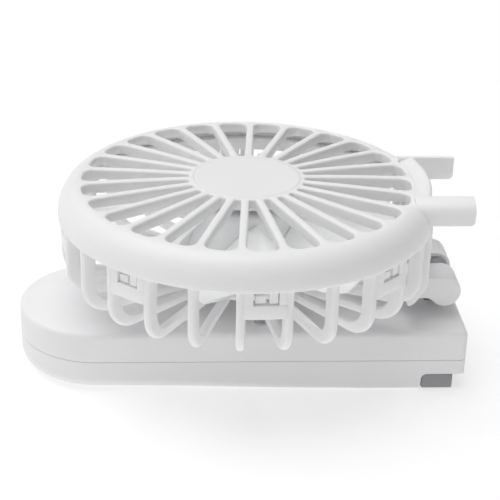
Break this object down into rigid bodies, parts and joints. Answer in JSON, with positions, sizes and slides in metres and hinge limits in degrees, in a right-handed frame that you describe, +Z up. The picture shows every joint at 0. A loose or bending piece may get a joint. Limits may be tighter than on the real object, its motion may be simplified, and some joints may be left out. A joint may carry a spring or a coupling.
{
  "type": "folding handheld fan",
  "caption": "Folding handheld fan: a round caged fan head lies flat over a stadium-shaped handle and swings up on a hinge at one end; it has a turning impeller and a press button.",
  "frame": {"origin": "middle of the handle's length and width, on the plane that the handle's underside rests on; the folded fan's bounding box is centred on it", "axes": "+X from the grip end to the hinge end, +Y to the charging-port side, +Z up through the folded head's front grille"},
  "size_m": [0.114, 0.095, 0.0504],
  "materials": {
    "head_plastic": "satin",
    "shell_plastic": "satin",
    "blade_plastic": "semi-gloss",
    "grey_plastic": "matt",
    "steel": "plain",
    "brass": "plain",
    "copper_winding": "enamelled",
    "laminated_iron": "plain",
    "ferrite": "matt",
    "circuit_board": "lacquered",
    "black_plastic": "matt",
    "battery_foil": "laminated",
    "foam": "open-cell",
    "clear_plastic": "clear",
    "red_insulation": "satin"
  },
  "bodies": {
    "handle": {"battery": "battery_foil", "battery_connector": "shell_plastic", "battery_pad": "foam", "battery_wire_black": "black_plastic", "battery_wire_red": "red_insulation", "board_screw_1": "steel", "board_screw_2": "steel", "bracket_screw_1": "steel", "bracket_screw_2": "steel", "charge_chip": "black_plastic", "control_chip": "black_plastic", "handle_lower_shell": "shell_plastic", "handle_upper_shell": "shell_plastic", "hinge_bracket": "grey_plastic", "hinge_washer_front": "steel", "hinge_washer_rear": "steel", "indicator_led_1": "clear_plastic", "indicator_led_2": "clear_plastic", "indicator_led_3": "clear_plastic", "indicator_led_4": "clear_plastic", "indicator_light_pipe": "clear_plastic", "inductor": "laminated_iron", "main_board": "circuit_board", "motor_connector": "shell_plastic", "power_switch": "steel", "prong_socket": "grey_plastic", "shell_screw_1": "steel", "shell_screw_2": "steel", "usb_port": "steel"},
    "head": {"front_ring": "head_plastic", "front_grille": "head_plastic", "grille_cap": "head_plastic", "rear_cage": "head_plastic", "rear_guard": "head_plastic", "hinge_pin": "steel", "bearing_tube": "brass", "stator_core": "laminated_iron", "motor_board": "circuit_board", "bearing_rear": "laminated_iron", "bearing_front": "laminated_iron", "coil_1": "copper_winding", "coil_2": "copper_winding", "coil_3": "copper_winding", "coil_4": "copper_winding"},
    "impeller": {"impeller": "blade_plastic", "rotor_can": "steel", "magnet_ring": "ferrite", "motor_shaft": "steel", "shaft_clip": "steel"},
    "button": {"power_button": "shell_plastic"}
  },
  "joints": [
    {"name": "head_fold", "type": "hinge", "parent": "handle", "child": "head", "pos_m": [0.0519, 0, 0.0235], "axis": [0, 1, 0], "range_deg": [0, 180]},
    {"name": "impeller_spin", "type": "hinge", "parent": "head", "child": "impeller", "pos_m": [0.0013, 0, 0.036], "axis": [0, 0, 1], "continuous": true},
    {"name": "button_press", "type": "slide", "parent": "handle", "child": "button", "axis": [0, 0, 1], "range_m": [0, 0.0005], "stiffness_N_per_m": 300, "springref_m": -0.0005}
  ]
}
